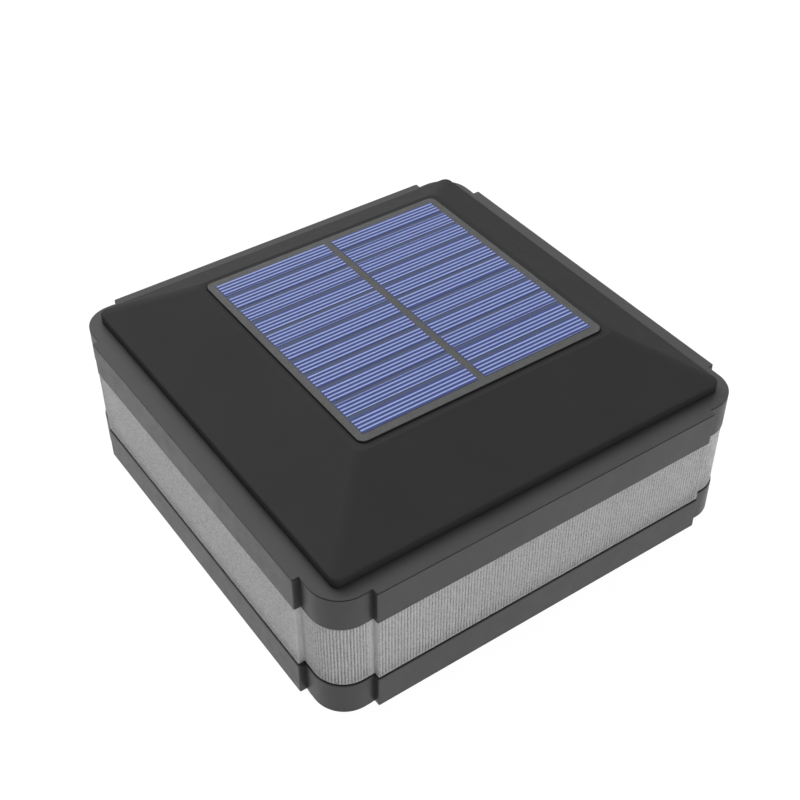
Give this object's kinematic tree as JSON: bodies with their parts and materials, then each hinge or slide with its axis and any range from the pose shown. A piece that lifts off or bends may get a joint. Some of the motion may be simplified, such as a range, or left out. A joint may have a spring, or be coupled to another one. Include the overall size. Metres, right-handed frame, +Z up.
{
  "type": "solar deck post cap light",
  "caption": "Square post cap light: a base over the post, a fluted translucent light ring, and a head with a sloped top and a flat solar panel.",
  "frame": {"origin": "centre of the base's underside", "axes": "+Z up along the post; X and Y square to the sides"},
  "size_m": [0.15, 0.15, 0.0658],
  "materials": {
    "frame_plastic": "fine matt, dark grey",
    "cap_plastic": "fine matt, black",
    "seal_rubber": "matt black",
    "cover_foam": "closed-cell foam",
    "white_plastic": "satin white",
    "diffuser_plastic": "fluted, translucent, satin",
    "screw_steel": "passivated",
    "tape_foam": "white foam tape",
    "panel_backing": "grey-green laminate",
    "cell_blue": "deep blue silicon with pale fingers",
    "panel_resin": "clear resin",
    "lamp_board_white": "white solder mask",
    "lamp_lens": "yellow phosphor under clear resin",
    "battery_wrap": "shrink wrap",
    "spring_steel": "nickel plated",
    "contact_brass": "plated",
    "board_green": "green solder mask",
    "chip_black": "moulded",
    "socket_nylon": "natural nylon",
    "switch_metal": "tinned",
    "knob_black": "moulded",
    "lead_red": "insulated wire",
    "lead_white": "insulated wire",
    "lead_black": "insulated wire"
  },
  "bodies": {
    "base": {"base_frame": "frame_plastic", "base_seal": "seal_rubber", "reflector_sheet": "white_plastic"},
    "head": {"diffuser_ring": "diffuser_plastic", "head_frame": "frame_plastic", "top_cap": "cap_plastic", "cap_seal": "seal_rubber", "cap_screws": "screw_steel", "panel_tape": "tape_foam", "panel_board": "panel_backing", "solar_cells": "cell_blue", "panel_glaze": "panel_resin", "light_tray": "white_plastic", "tray_screws": "screw_steel", "lamp_boards": "lamp_board_white", "lamps": "lamp_lens", "battery_cell": "battery_wrap", "battery_spring": "spring_steel", "negative_plate": "contact_brass", "positive_plate": "contact_brass", "control_board": "board_green", "charge_chip": "chip_black", "power_coil": "chip_black", "lead_sockets": "socket_nylon", "board_screws": "screw_steel", "switch_housing": "switch_metal", "switch_screws": "screw_steel", "panel_leads": "lead_red", "battery_leads": "lead_red", "lamp_leads": "lead_white", "switch_leads": "lead_black"},
    "cover": {"battery_cover": "white_plastic", "cover_seal": "cover_foam", "cover_screws": "screw_steel"},
    "knob": {"switch_knob": "knob_black"}
  },
  "joints": [
    {"name": "head_lift", "type": "slide", "parent": "base", "child": "head", "axis": [0, 0, 1], "range_m": [0, 0.05]},
    {"name": "cover_drop", "type": "slide", "parent": "head", "child": "cover", "axis": [0, 0, -1], "range_m": [0, 0.0078]},
    {"name": "switch_slide", "type": "slide", "parent": "head", "child": "knob", "axis": [1, 0, 0], "range_m": [0, 0.004]}
  ]
}
